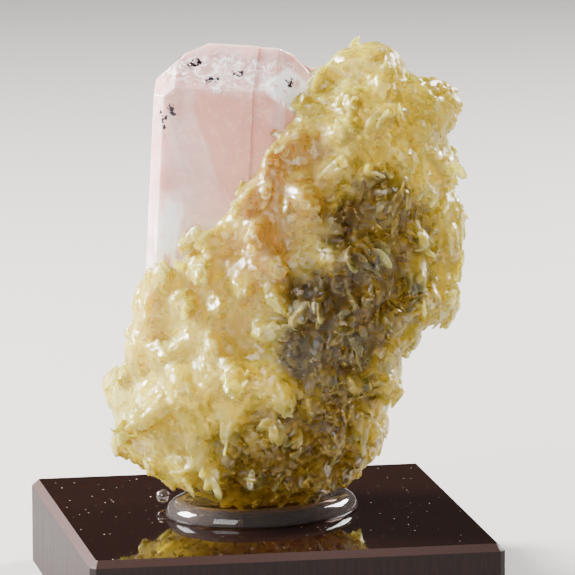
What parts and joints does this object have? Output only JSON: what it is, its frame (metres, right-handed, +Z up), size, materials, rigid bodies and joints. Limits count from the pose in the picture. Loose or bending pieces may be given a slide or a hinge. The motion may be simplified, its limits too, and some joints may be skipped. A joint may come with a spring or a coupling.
{
  "type": "danburite specimen",
  "caption": "Pink danburite crystals with a crust of yellow bladed calcite, set in clear putty on a dark display block.",
  "frame": {"origin": "centre of the display block's underside", "axes": "+Z up through the specimen; -Y is the block's front, from which the crystals stand at the left and the crust climbs to the right"},
  "size_m": [0.06, 0.06, 0.082],
  "materials": {
    "smoked_acrylic": "polished top, sawn sides",
    "clear_putty": "clear, glossy, soft",
    "danburite": "clear to milky pink crystal with a glassy lustre",
    "yellow_calcite": "translucent bladed crystals with a waxy to glassy lustre"
  },
  "bodies": {
    "root": {"display_block": "smoked_acrylic", "putty_bed": "clear_putty", "putty_pellet": "clear_putty", "danburite_crystals": "danburite", "calcite_crust": "yellow_calcite"}
  },
  "joints": []
}
